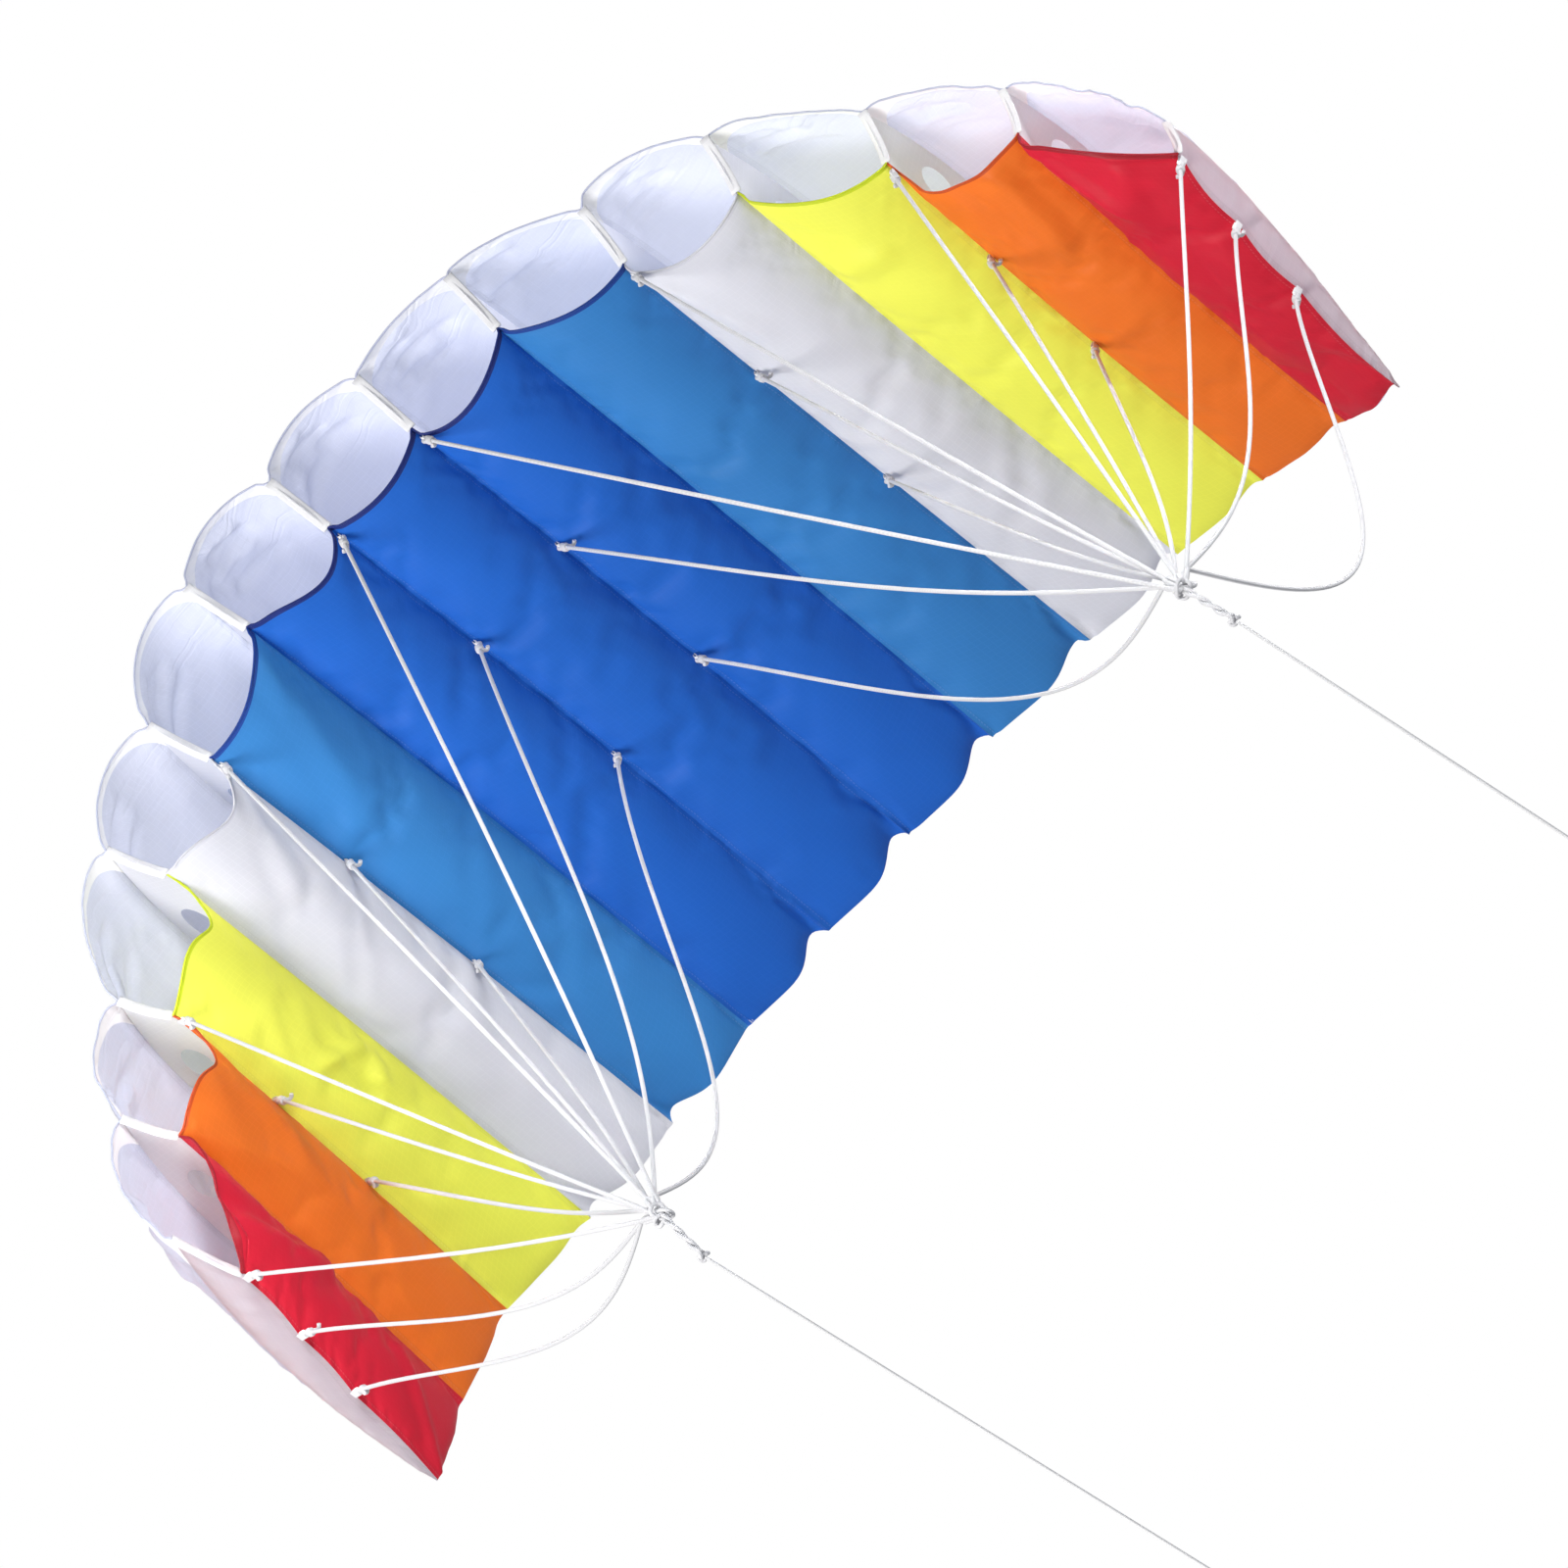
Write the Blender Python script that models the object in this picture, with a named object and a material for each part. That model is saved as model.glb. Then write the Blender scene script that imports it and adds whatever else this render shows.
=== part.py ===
# Dual-line ram-air foil kite, flown by its pilot on two lines.
# World frame in metres: X across the span, Y from leading to trailing edge, Z up.
# The canopy is at the top and the two flying lines run down to the pilot.
# The origin is on the underside of the centre cell, right above the two tow points.
import bpy
import bmesh
import math
from mathutils import Vector

# ---- canopy plan ----
CELLS = 13                 # air cells across the span
FLAT_SPAN = 1.20           # tip to tip along the cloth
CELL = FLAT_SPAN / CELLS
CHORD = 0.515              # leading to trailing edge at the centre
LE_SWEEP = 0.205           # how far the tip's leading edge lies behind the centre's
LE_POWER = 1.9
TE_SWEEP = 0.058           # how far the tip's trailing edge lies ahead of the centre's
TE_POWER = 1.6
TIP_TILT = math.radians(58)   # slope of the outermost cell
TILT_POWER = 1.34

# ---- cell section, as fractions of the local chord ----
NOSE_AHEAD = 0.080         # the top skin's front edge overhangs the lower one
NOSE_HEIGHT = 0.077
CAMBER = 0.21
TIP_THINNING = 0.40        # the outermost rib is this much flatter for its chord
TE_HEIGHT = 0.0013         # metres, where top skin and lower panel meet
LOWER_PILLOW = 0.011       # how far a lower panel bulges between two ribs
UPPER_PILLOW = 0.016
NOSE_PILLOW = 0.012        # how far the top skin's front edge bulges forward

# ---- sheet and gaps ----
FABRIC = 0.0010
GAP = 0.0003
SEAM = FABRIC / 2 + 0.00035   # rib centre to the edge of a lower panel
RIB_END = 0.985            # the ribs stop short of the sewn trailing edge
LOWER_STEPS = (0.0, 0.10, 0.26, 0.44, 0.62, 0.80, 1.0)
UPPER_STEPS = (0.0, 0.07, 0.16, 0.27, 0.40, 0.54, 0.68, 0.82, 0.93, 1.0)
SPAN_STEPS = 4             # facets across one cell

# ---- rib cross vents: chord place, half length and half height, of the local chord ----
VENTS = ((0.13, 0.045, 0.036), (0.33, 0.052, 0.042), (0.56, 0.045, 0.032))
VENT_SIDES = 10

# ---- bridle ----
TOW_X = 0.252
TOW_DROP = 0.805           # tow point below the origin
LINE_D = 0.003             # bridle line
BRIDLED = (0, 2, 4, 6)     # ribs with lines, counted outward from the centre cell
ROWS = {"a": 0.022, "b": 0.285, "c": 0.56}   # chord places of the three tabs
TAB_WIDTH = 0.006
TAB_DROP = 0.005
# slack that the wind blows aft, for each bridled rib from the centre to the tip
SLACK = {"a": (0.004, 0.003, 0.003, 0.006),
         "b": (0.020, 0.010, 0.006, 0.036),
         "c": (0.068, 0.014, 0.014, 0.074)}
LINE_STEPS = 12
FAN = 0.28                 # angle between neighbouring lines at the knot

# ---- tow loops, flying lines and their end loops ----
KNOT_R = 0.012
STEM_R = 0.0025
STEM_LENGTH = 0.080
END_KNOT_R = 0.0045
FLYING_D = 0.002
FLYING_LENGTH = 0.74
# the lines' slope off straight down, toward +X: both lead to one pilot
LEFT_LEAN, RIGHT_LEAN = math.radians(5.7), math.radians(-0.7)
LOOP_KNOT_R = 0.004
LOOP_LENGTH = 0.062
LOOP_HALF_WIDTH = 0.012
TAPE = 0.0022
TAPE_WIDTH = 0.008

COLOURS = {
    "red": (0.62, 0.012, 0.035),
    "orange": (0.85, 0.17, 0.03),
    "yellow": (0.72, 0.90, 0.10),
    "white": (0.78, 0.79, 0.83),
    "light_blue": (0.07, 0.30, 0.62),
    "blue": (0.018, 0.13, 0.60),
    "rib_white": (0.70, 0.71, 0.78),
    "top_white": (0.80, 0.80, 0.86),
    "bridle_white": (0.82, 0.82, 0.82),
    "line_grey": (0.60, 0.61, 0.63),
}
CELL_COLOURS = ("blue", "blue", "light_blue", "white", "yellow", "orange", "red")


def clear_scene():
    for obj in list(bpy.data.objects):
        bpy.data.objects.remove(obj, do_unlink=True)


def material(name):
    mat = bpy.data.materials.get(name)
    if mat is None:
        mat = bpy.data.materials.new(name)
        mat.use_nodes = True
        shader = mat.node_tree.nodes["Principled BSDF"]
        shader.inputs["Base Color"].default_value = (*COLOURS[name], 1.0)
        shader.inputs["Roughness"].default_value = 0.55
        shader.inputs["Metallic"].default_value = 0.0
    return mat


def add_mesh(name, bm, colour):
    bmesh.ops.recalc_face_normals(bm, faces=bm.faces)
    mesh = bpy.data.meshes.new(name)
    bm.to_mesh(mesh)
    bm.free()
    mesh.materials.append(material(colour))
    obj = bpy.data.objects.new(name, mesh)
    bpy.context.collection.objects.link(obj)
    return obj


# ---- shape of the canopy ----
def lower_depth(v):
    return LOWER_PILLOW * (1 - v ** 3)


RIB_Z = lower_depth(-(-0.152) / CHORD)   # rib feet above the origin
LE_Y = -0.152              # centre leading edge, ahead of the tow points


def rib_places():
    """Foot, up direction, chord and relative thickness of the ribs from the centre cell to one tip."""
    places = []
    x, z = CELL / 2, RIB_Z
    for k in range(7):
        inner = TIP_TILT * (k / 6) ** TILT_POWER
        outer = TIP_TILT * (min(k + 1, 6) / 6) ** TILT_POWER
        lean = (inner + outer) / 2
        t = (k + 0.5) / 6.5
        front = LE_Y + LE_SWEEP * t ** LE_POWER
        back = LE_Y + CHORD - TE_SWEEP * t ** TE_POWER
        thick = 1 - TIP_THINNING * t ** 3
        up = Vector((math.sin(lean), 0, math.cos(lean)))
        places.append((Vector((x, front, z)), up, back - front, thick))
        x += CELL * math.cos(outer)
        z -= CELL * math.sin(outer)
    return places


def all_ribs():
    """The same for all ribs, from the left tip to the right tip."""
    right = rib_places()
    left = [(Vector((-p.x, p.y, p.z)), Vector((-n.x, n.y, n.z)), c, h) for p, n, c, h in reversed(right)]
    return left + right


def top_height(q, chord, thick):
    return chord * thick * (1 - q) * (NOSE_HEIGHT + CAMBER * (1 - (1 - q) ** 3)) + TE_HEIGHT


def top_along(q, chord):
    return chord * (q * (1 + NOSE_AHEAD) - NOSE_AHEAD)


def foot_point(rib, v):
    foot, up, chord, thick = rib
    return foot + Vector((0, v * chord, 0))


def top_point(rib, q, lift):
    foot, up, chord, thick = rib
    return foot + Vector((0, top_along(q, chord), 0)) + up * (top_height(q, chord, thick) + lift)


def cell_up(rib_a, rib_b):
    across = rib_b[0] - rib_a[0]
    return Vector((-across.z, 0, across.x)).normalized()


# ---- closed thin solids ----
def shell(name, rows_out, rows_in, colour):
    """A sheet between two equal grids of points, closed round its edge."""
    bm = bmesh.new()
    m, n = len(rows_out), len(rows_out[0])
    out = [[bm.verts.new(p) for p in row] for row in rows_out]
    inn = [[bm.verts.new(p) for p in row] for row in rows_in]
    for i in range(m - 1):
        for j in range(n - 1):
            bm.faces.new((out[i][j], out[i][j + 1], out[i + 1][j + 1], out[i + 1][j]))
            bm.faces.new((inn[i][j], inn[i + 1][j], inn[i + 1][j + 1], inn[i][j + 1]))
    ring = [(0, j) for j in range(n)] + [(i, n - 1) for i in range(1, m)]
    ring += [(m - 1, j) for j in range(n - 2, -1, -1)] + [(i, 0) for i in range(m - 2, 0, -1)]
    for (i, j), (k, l) in zip(ring, ring[1:] + ring[:1]):
        bm.faces.new((out[i][j], inn[i][j], inn[k][l], out[k][l]))
    return add_mesh(name, bm, colour)


def plate(name, loops, place, across, thickness, colour):
    """A flat plate cut to an outline and its holes; place turns a flat point into a world one."""
    bm = bmesh.new()
    edges = []
    for loop in loops:
        verts = [bm.verts.new(place(a, b) - across * (thickness / 2)) for a, b in loop]
        edges += [bm.edges.new((verts[i - 1], verts[i])) for i in range(len(verts))]
    bmesh.ops.triangle_fill(bm, use_beauty=True, edges=edges)
    made = bmesh.ops.extrude_face_region(bm, geom=bm.faces[:])
    moved = [g for g in made["geom"] if isinstance(g, bmesh.types.BMVert)]
    bmesh.ops.translate(bm, verts=moved, vec=across * thickness)
    return add_mesh(name, bm, colour)


def turned(name, profile, centre, sides, colour):
    """A solid turned about Z; the profile runs from its top pole to its bottom pole."""
    bm = bmesh.new()
    top = bm.verts.new(centre + Vector((0, 0, profile[0][1])))
    bottom = bm.verts.new(centre + Vector((0, 0, profile[-1][1])))
    rings = []
    for r, z in profile[1:-1]:
        turns = [2 * math.pi * i / sides for i in range(sides)]
        rings.append([bm.verts.new(centre + Vector((r * math.cos(a), r * math.sin(a), z))) for a in turns])
    for i in range(sides):
        k = (i + 1) % sides
        bm.faces.new((top, rings[0][i], rings[0][k]))
        for upper, lower in zip(rings, rings[1:]):
            bm.faces.new((upper[i], lower[i], lower[k], upper[k]))
        bm.faces.new((bottom, rings[-1][k], rings[-1][i]))
    obj = add_mesh(name, bm, colour)
    obj.data.shade_smooth()
    obj.data.set_sharp_from_angle(angle=math.radians(40))
    return obj


def tube(name, points, diameter, colour):
    curve = bpy.data.curves.new(name, "CURVE")
    curve.dimensions = "3D"
    curve.resolution_u = 1
    curve.render_resolution_u = 0
    curve.bevel_depth = diameter / 2
    curve.bevel_resolution = 2
    curve.use_fill_caps = True
    spline = curve.splines.new("POLY")
    spline.points.add(len(points) - 1)
    for point, place in zip(spline.points, points):
        point.co = (*place, 1.0)
    curve.materials.append(material(colour))
    obj = bpy.data.objects.new(name, curve)
    bpy.context.collection.objects.link(obj)
    return obj


# ---- the canopy's pieces ----
def build_lower_panels(ribs):
    for cell in range(CELLS):
        a, b = ribs[cell], ribs[cell + 1]
        up = cell_up(a, b)
        rows_out, rows_in = [], []
        for v in LOWER_STEPS:
            pa, pb = foot_point(a, v), foot_point(b, v)
            edge = SEAM / (pb - pa).length
            out, inn = [], []
            for i in range(SPAN_STEPS + 1):
                s = i / SPAN_STEPS
                p = pa.lerp(pb, edge + (1 - 2 * edge) * s) - up * (lower_depth(v) * 4 * s * (1 - s))
                out.append(p)
                inn.append(p + up * FABRIC)
            rows_out.append(out)
            rows_in.append(inn)
        colour = CELL_COLOURS[abs(cell - CELLS // 2)]
        shell(f"lower_panel_{cell + 1:02d}", rows_out, rows_in, colour)


def upper_row(ribs, first, last, q, lift):
    """One row of the top skin over the cells first to last - 1, bulging up over each cell."""
    row = []
    for cell in range(first, last):
        a, b = ribs[cell], ribs[cell + 1]
        up = cell_up(a, b)
        pa, pb = top_point(a, q, lift), top_point(b, q, lift)
        low = 0.0002 / CELL if cell == first else 0.0
        high = 1 - 0.0002 / CELL if cell == last - 1 else 1.0
        if cell == 0:
            low = -0.0005 / CELL
        if cell == CELLS - 1:
            high = 1 + 0.0005 / CELL
        for i in range(SPAN_STEPS + 1):
            if i == SPAN_STEPS and cell < last - 1:
                continue
            s = i / SPAN_STEPS
            bulge = 4 * s * (1 - s)
            p = pa.lerp(pb, low + (high - low) * s) + up * (UPPER_PILLOW * (1 - q ** 3) * bulge)
            row.append(p + Vector((0, -NOSE_PILLOW * (1 - q) ** 4 * bulge, 0)))
    return row


def build_top_skin(ribs):
    for name, first, last in (("left", 0, 4), ("centre", 4, 9), ("right", 9, 13)):
        rows_in = [upper_row(ribs, first, last, q, GAP) for q in UPPER_STEPS]
        rows_out = [upper_row(ribs, first, last, q, GAP + FABRIC) for q in UPPER_STEPS]
        shell(f"top_skin_{name}", rows_out, rows_in, "top_white")


def rib_outline(chord, thick, tabs):
    """Outline of one rib: its foot from front to back, with the line tabs, then its top forward."""
    outline = [(0.0, 0.0)]
    if tabs:
        for place in ROWS.values():
            a = place * chord - TAB_WIDTH / 2
            b = place * chord + TAB_WIDTH / 2
            outline += [(a, 0.0), (a + 0.001, -TAB_DROP), (b - 0.001, -TAB_DROP), (b, 0.0)]
    steps = [q for q in UPPER_STEPS if q < RIB_END] + [RIB_END]
    heights = []
    for q in steps:
        if q == RIB_END:
            part = (q - UPPER_STEPS[-2]) / (1 - UPPER_STEPS[-2])
            rise = top_height(UPPER_STEPS[-2], chord, thick) * (1 - part) + TE_HEIGHT * part
        else:
            rise = top_height(q, chord, thick)
        heights.append((top_along(q, chord), rise))
    outline.append((heights[-1][0], 0.0))
    return outline + heights[::-1]


def vent_loop(chord, thick, place, half_long, half_high):
    height = top_height((place + NOSE_AHEAD) / (1 + NOSE_AHEAD), chord, thick)
    loop = []
    for i in range(VENT_SIDES):
        turn = 2 * math.pi * i / VENT_SIDES
        loop.append((chord * (place + half_long * math.cos(turn)),
                     height * 0.48 + chord * thick * half_high * math.sin(turn)))
    return loop


def build_ribs(ribs):
    for index, (foot, up, chord, thick) in enumerate(ribs):
        k = index - 7 if index > 6 else 6 - index
        loops = [rib_outline(chord, thick, k in BRIDLED)]
        if k < 6:
            loops += [vent_loop(chord, thick, *vent) for vent in VENTS]
        across = Vector((up.z, 0, -up.x))
        plate(f"rib_{index + 1:02d}", loops,
              lambda y, z, foot=foot, up=up: foot + Vector((0, y, 0)) + up * z,
              across, FABRIC, "rib_white")


# ---- bridle, tow loops and lines ----
def line_points(tab, knot, side, column, row, slack):
    """A line from its tab to its own place on the knot, with its slack blown aft."""
    fan = Vector((side * math.tan(FAN * (column - 1.5)), math.tan(FAN * (row - 1)), 1.0)).normalized()
    end = knot + fan * (KNOT_R + 0.0008)
    points = []
    for i in range(LINE_STEPS + 1):
        t = i / LINE_STEPS
        blown = slack * math.sin(math.pi * t ** 1.3)
        points.append(tab.lerp(end, t) + Vector((0, blown, -0.15 * blown)))
    return points


def build_bridle(ribs):
    for side, word in ((-1, "left"), (1, "right")):
        knot = Vector((side * TOW_X, 0, -TOW_DROP))
        for column, k in enumerate(BRIDLED):
            index = 7 + k if side > 0 else 6 - k
            foot, up, chord, thick = ribs[index]
            for row, (letter, place) in enumerate(ROWS.items()):
                tab = foot + Vector((0, place * chord, 0)) - up * (TAB_DROP + 0.0012)
                points = line_points(tab, knot, side, column, row, SLACK[letter][column])
                tube(f"bridle_{word}_{letter}{column + 1}", points, LINE_D, "bridle_white")


def arc(radius, centre_z, start, stop, steps):
    """Profile points on a circle about the Z axis, angles counted from straight up."""
    turns = [math.radians(start + (stop - start) * i / steps) for i in range(steps + 1)]
    return [(radius * math.sin(a), centre_z + radius * math.cos(a)) for a in turns]


def build_tow_loops():
    meet = math.degrees(math.asin(STEM_R / KNOT_R))
    meet_low = math.degrees(math.asin(STEM_R / END_KNOT_R))
    profile = arc(KNOT_R, 0.0, 0, 180 - meet, 7)
    profile += arc(END_KNOT_R, -STEM_LENGTH, meet_low, 180, 5)
    profile[0] = (0.0, KNOT_R)
    profile[-1] = (0.0, -STEM_LENGTH - END_KNOT_R)
    for side, word in ((-1, "left"), (1, "right")):
        turned(f"tow_loop_{word}", profile, Vector((side * TOW_X, 0, -TOW_DROP)), 14, "bridle_white")


def line_place(side, distance):
    """A point on a flying line's axis, at a distance from its hinge on the tow loop's end knot."""
    lean = LEFT_LEAN if side < 0 else RIGHT_LEAN
    hinge = Vector((side * TOW_X, 0, -TOW_DROP - STEM_LENGTH))
    return hinge + Vector((math.sin(lean), 0, -math.cos(lean))) * distance


def build_flying_lines():
    start = END_KNOT_R + 0.0004
    for side, word in ((-1, "left"), (1, "right")):
        steps = 20
        points = [line_place(side, start + FLYING_LENGTH * i / steps) for i in range(steps + 1)]
        tube(f"flying_line_{word}", points, FLYING_D, "line_grey")


def build_end_loops():
    distance = END_KNOT_R + 0.0008 + FLYING_LENGTH + LOOP_KNOT_R
    neck = 0.0025
    start = math.asin(neck / LOOP_KNOT_R)
    round_top = []
    for i in range(11):
        a = -math.pi + start + (2 * math.pi - 2 * start) * i / 10
        round_top.append((LOOP_KNOT_R * math.sin(a), LOOP_KNOT_R * math.cos(a)))
    w, low = LOOP_HALF_WIDTH, -LOOP_LENGTH
    outer = round_top + [(neck, -0.009), (w, -0.040), (w, low + 0.004), (w - 0.004, low),
                         (-w + 0.004, low), (-w, low + 0.004), (-w, -0.040), (-neck, -0.009)]
    inner = [(0.0, -0.013), (w - TAPE, -0.041), (w - TAPE, low + 0.0048), (w - 0.0048, low + TAPE),
             (-w + 0.0048, low + TAPE), (-w + TAPE, low + 0.0048), (-w + TAPE, -0.041)]
    for side, word in ((-1, "left"), (1, "right")):
        centre = line_place(side, distance)
        plate(f"end_loop_{word}", [outer, inner],
              lambda x, z, centre=centre: centre + Vector((x, 0, z)),
              Vector((0, 1, 0)), TAPE_WIDTH, "bridle_white")


def main():
    clear_scene()
    ribs = all_ribs()
    build_lower_panels(ribs)
    build_ribs(ribs)
    build_top_skin(ribs)
    build_bridle(ribs)
    build_tow_loops()
    build_flying_lines()
    build_end_loops()


main()
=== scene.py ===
import math

import bmesh
import bpy
import numpy as np
from mathutils import Matrix, Vector, noise


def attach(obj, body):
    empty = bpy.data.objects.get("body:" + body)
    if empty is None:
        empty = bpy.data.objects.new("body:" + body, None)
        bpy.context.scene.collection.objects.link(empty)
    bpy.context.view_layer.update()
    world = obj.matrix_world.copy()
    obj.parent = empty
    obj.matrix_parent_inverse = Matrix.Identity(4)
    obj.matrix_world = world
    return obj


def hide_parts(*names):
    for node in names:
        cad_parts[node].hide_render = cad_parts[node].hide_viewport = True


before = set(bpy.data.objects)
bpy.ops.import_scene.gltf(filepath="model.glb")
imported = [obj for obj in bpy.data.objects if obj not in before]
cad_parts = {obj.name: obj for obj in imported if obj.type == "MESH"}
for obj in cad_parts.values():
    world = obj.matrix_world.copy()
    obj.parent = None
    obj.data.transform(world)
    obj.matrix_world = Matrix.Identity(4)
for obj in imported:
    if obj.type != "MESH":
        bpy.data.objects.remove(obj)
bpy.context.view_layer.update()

# ---- camera and studio ----
CAMERA_EYE = Vector((-0.076, -2.038, -4.903))
CAMERA_AIM = Vector((0.0129, 0.2046, -0.1019))
CAMERA_ROLL = math.radians(-52.175)
LENS, SENSOR = 170, 36     # millimetres
FLOOR_Z, FLOOR_HALF = -5.6, 40
ROOM_GLOW = 0.38           # even light from all sides, while the camera sees plain white there
# name, place, aim, size, watts, colour, and the spread in degrees of the narrow ones
LIGHTS = (("key", (-3.5, -1.7, -2.7), (0, 0.05, 0), 2.4, 248, (1.0, 0.985, 0.96), None),
          # on the left tip, on the right bridle below the canopy, and on the right tip's outer side
          ("fill", (0.35, -0.9, -1.3), (-0.52, 0.02, -0.25), 0.4, 2.0, (0.97, 0.98, 1.0), 44),
          ("bridle_fill", (1.5, -1.3, -1.2), (0.36, 0, -0.62), 0.3, 1.0, (1, 1, 1), 26),
          ("tip_fill", (2.4, -1.2, -0.6), (0.53, 0.05, -0.24), 0.3, 0.6, (1, 1, 1), 18),
          ("sky", (2.4, -0.8, 3.1), (0, 0, 0), 2.5, 125, (0.96, 0.98, 1.0), None))
OVERHEAD_POWER, OVERHEAD_ANGLE = 1.5, math.radians(40)

# ---- the canopy's plan and section, as in part.py ----
CELLS = 13
LAST_RIB = CELLS           # ribs are numbered 0 to 13 from the left
CELL = 1.20 / CELLS
CHORD = 0.515
LE_Y = -0.152
LE_SWEEP, LE_POWER = 0.205, 1.9
TE_SWEEP, TE_POWER = 0.058, 1.6
TIP_TILT, TILT_POWER = math.radians(58), 1.34
NOSE_AHEAD, NOSE_HEIGHT, CAMBER, TE_HEIGHT = 0.080, 0.077, 0.21, 0.0013
TIP_THINNING = 0.40
LOWER_PILLOW, UPPER_PILLOW, NOSE_PILLOW = 0.011, 0.016, 0.012
RIB_Z = LOWER_PILLOW * (1 - (-LE_Y / CHORD) ** 3)
VENTS = ((0.13, 0.045, 0.036), (0.33, 0.052, 0.042), (0.56, 0.045, 0.032))
VENT_HEIGHT = 0.48         # of the rib's own height there

# ---- bridle and lines, as in part.py ----
TOW_X, TOW_DROP = 0.252, 0.805
LINE_D, TOW_CORD_D, FLYING_D = 0.003, 0.0026, 0.002
BRIDLED = (0, 2, 4, 6)
ROWS = {"a": 0.022, "b": 0.285, "c": 0.56}
TAB_DROP = 0.005
SLACK = {"a": (0.004, 0.003, 0.003, 0.006),
         "b": (0.020, 0.010, 0.006, 0.036),
         "c": (0.068, 0.014, 0.014, 0.074)}
ROWS_MIDDLE = 0.28         # the part of the chord that a rib's three lines aim at together
GATHER_ABOVE, GATHER_STAGGER = 0.024, 0.006  # they meet this far from the tow knot, every other rib more
TOW_KNOTS = (0.0026, 0.0021, 0.0012)         # sizes of the knot's two windings and of the lower knot
STEM_LENGTH, END_KNOT_R = 0.080, 0.0045
# slack of the two centre ribs' lines, which the wind blows differently, and how far down it lies
FIRST_LINE_SLACK = {(-1, "a"): (0.006, 1.2), (-1, "b"): (0.034, 1.4), (-1, "c"): (0.066, 1.75),
                    (1, "a"): (0.002, 1.2), (1, "b"): (0.022, 1.2), (1, "c"): (0.080, 1.15)}
TIP_LINE_SLACK = {-1: -0.030, 1: 0.040}      # added to the tip ribs' last lines
FLYING_LENGTH = 0.74
LEFT_LEAN, RIGHT_LEAN = math.radians(5.7), math.radians(-0.7)
LOOP_KNOT_R, LOOP_LENGTH, LOOP_HALF_WIDTH = 0.004, 0.062, 0.012
LINE_TUCK = 0.008          # the flying line runs this far on into its end loop
# half width and half thickness of each tape
TAB_TAPE, BINDING_TAPE = (0.0030, 0.00035), (0.0042, 0.0007)
LOOP_TAPE, LOOP_COLLAR = (0.004, 0.0006), (0.0046, 0.0026)

# ---- the cloth as it flies, beyond the CAD model's even shape ----
PANEL_PILLOW = 0.017       # the lower panels' own bulge
# depth of the front hem's inward curve in each cell, and where across the cell it is deepest
HEM_SCOOP = ((-0.010, 0.5), (0.032, 0.82), (0.034, 0.84), (0.026, 0.72), (0.010, 0.50), (0.018, 0.68),
             (0.009, 0.50), (0.017, 0.36), (0.009, 0.50), (0.017, 0.38), (0.011, 0.50), (0.027, 0.20),
             (-0.011, 0.5))
# in flight the bridled ribs' fronts are held back and the free ribs' fronts creep ahead
BRIDLED_BACK, FREE_AHEAD = 0.005, 0.008
# the fronts drift towards the left in the middle, and less so towards the tips
FRONT_DRIFT, FRONT_SPREAD = 0.010, 0.025
# the left tip's back is swept outward and forward, the right side's back outward and aft
LEFT_SWEEP = Vector((-0.015, -0.030, 0))
RIGHT_SWEEP = Vector((0.015, 0.010, 0))
# how far each cell's nose and trailing edge stand out, as parts of the usual, and where the nose peaks
NOSE_BULGE = ((0.9, 0.5), (0.9, 0.5), (1.2, 0.55), (1.1, 0.5), (1.35, 0.45), (1.0, 0.5), (0.9, 0.45),
              (0.35, 0.4), (0.5, 0.4), (0.9, 0.35), (0.4, 0.5), (0.3, 0.5), (0.4, 0.5))
TE_WAVINESS = (0.2, 0.2, 0.25, 0.8, 0.9, 1.0, 1.0, 1.0, 0.8, 0.8, 0.35, 0.3, 0.5)
TE_WAVE = 0.008            # the trailing edge waves up and down across each cell
TE_TUCK = 0.007            # and is drawn forward just before each rib
TE_TURNED = (3, 4)         # in these cells just after the rib instead
SIDE_SCALLOP = (0.002, 0.003)    # the left and right tip seams are drawn in between the line tabs
TIP_NOSE = 0.034           # the left tip's nose is pulled this far forward
SIDE_BELLY, SIDE_RIPPLE = 0.009, 0.0016      # the closed tip panels' bulge and wrinkles
# creases in the lower panels: cell, then from and to as fractions across and along it, height, half width
CREASES = ((0, 0.25, 0.00, 0.87, 0.42, 0.0075, 0.020), (0, 0.62, 0.00, 0.87, 0.40, -0.0050, 0.014),
           (0, 0.02, 0.06, 0.80, 0.45, 0.0045, 0.014), (0, 0.10, 0.80, 0.70, 0.72, 0.0040, 0.014),
           (12, 0.14, 0.03, 0.52, 0.22, 0.0055, 0.016), (12, 0.84, 0.05, 0.66, 0.17, 0.0030, 0.014),
           (12, 0.85, 0.15, 0.55, 0.60, -0.0040, 0.020), (12, 0.30, 0.98, 0.75, 0.80, -0.0100, 0.024),
           (11, 0.98, 0.02, 0.78, 0.24, 0.0050, 0.014), (11, 0.70, 0.01, 0.60, 0.18, -0.0030, 0.012),
           (1, 0.10, 0.03, 0.45, 0.30, 0.0040, 0.014), (1, 0.80, 0.12, 0.50, 0.40, 0.0035, 0.014),
           (2, 0.86, 0.36, 0.42, 0.33, 0.0060, 0.011), (2, 0.42, 0.33, 0.64, 0.47, -0.0050, 0.011),
           (2, 0.86, 0.40, 0.62, 0.47, 0.0055, 0.010), (2, 0.70, 0.30, 0.60, 0.50, -0.0035, 0.010),
           (10, 0.22, 0.20, 0.62, 0.15, 0.0040, 0.014), (3, 0.80, 0.05, 0.55, 0.16, 0.0035, 0.014),
           (9, 0.20, 0.04, 0.40, 0.18, 0.0030, 0.014), (4, 0.90, 0.02, 0.45, 0.24, 0.0030, 0.022))

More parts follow.
